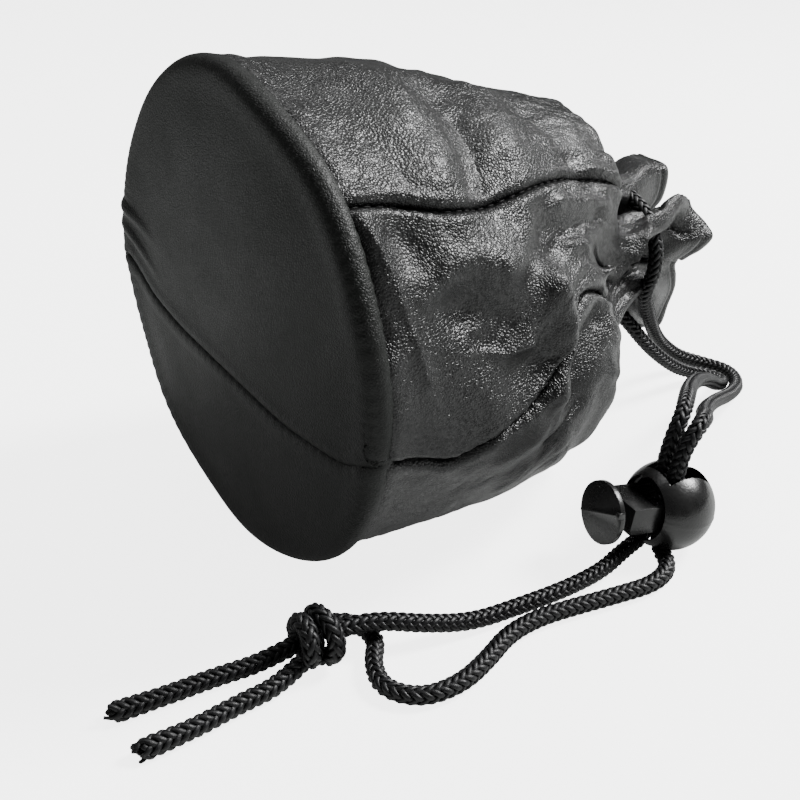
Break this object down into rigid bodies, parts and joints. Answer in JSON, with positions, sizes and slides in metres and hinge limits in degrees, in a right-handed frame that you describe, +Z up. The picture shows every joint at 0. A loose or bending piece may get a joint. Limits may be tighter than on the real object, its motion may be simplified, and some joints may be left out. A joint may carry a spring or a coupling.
{
  "type": "drawstring dice bag",
  "caption": "Soft leather pouch with a round sewn base and panelled wall, lying on its side, its mouth gathered by a braided drawstring with a spring cord lock and a knot.",
  "frame": {"origin": "on the floor under the middle of the leather bag, cord left out", "axes": "+X from the round base to the gathered mouth, +Z up from the floor it lies on, +Y away from the side where the cord lies"},
  "size_m": [0.1816, 0.1116, 0.095],
  "materials": {
    "base_leather": "matt fine grain",
    "wall_leather": "semi-gloss pebbled grain",
    "thread": "matt",
    "cord": "braided, slight sheen",
    "lock_plastic": "satin moulded",
    "spring_steel": "drawn wire"
  },
  "bodies": {
    "bag": {"base_panel_large": "base_leather", "base_panel_small": "base_leather", "top_wall_panel": "wall_leather", "front_wall_panel": "wall_leather", "lower_front_wall_panel": "wall_leather", "lower_rear_wall_panel": "wall_leather", "upper_rear_wall_panel": "wall_leather", "top_seam_thread": "thread", "front_seam_thread": "thread", "lower_front_seam_thread": "thread", "lower_rear_seam_thread": "thread", "upper_rear_seam_thread": "thread", "base_seam_thread": "thread", "base_rim_thread": "thread", "hem_thread": "thread", "drawstring_loop": "cord", "cord_strand_a": "cord", "cord_strand_b": "cord", "cord_tail_a": "cord", "cord_tail_b": "cord", "cord_knot": "cord"},
    "cord_lock": {"lock_body": "lock_plastic", "lock_spring": "spring_steel"},
    "button": {"lock_plunger": "lock_plastic"}
  },
  "joints": [
    {"name": "lock_slide", "type": "slide", "parent": "bag", "child": "cord_lock", "axis": [0.1705, -0.0331, 0.9848], "range_m": [0, 0.004]},
    {"name": "button_press", "type": "slide", "parent": "cord_lock", "child": "button", "axis": [0.9667, -0.1879, -0.1736], "range_m": [0, 0.0035], "stiffness_N_per_m": 300, "springref_m": -0.004, "deforming": ["lock_spring"]}
  ]
}
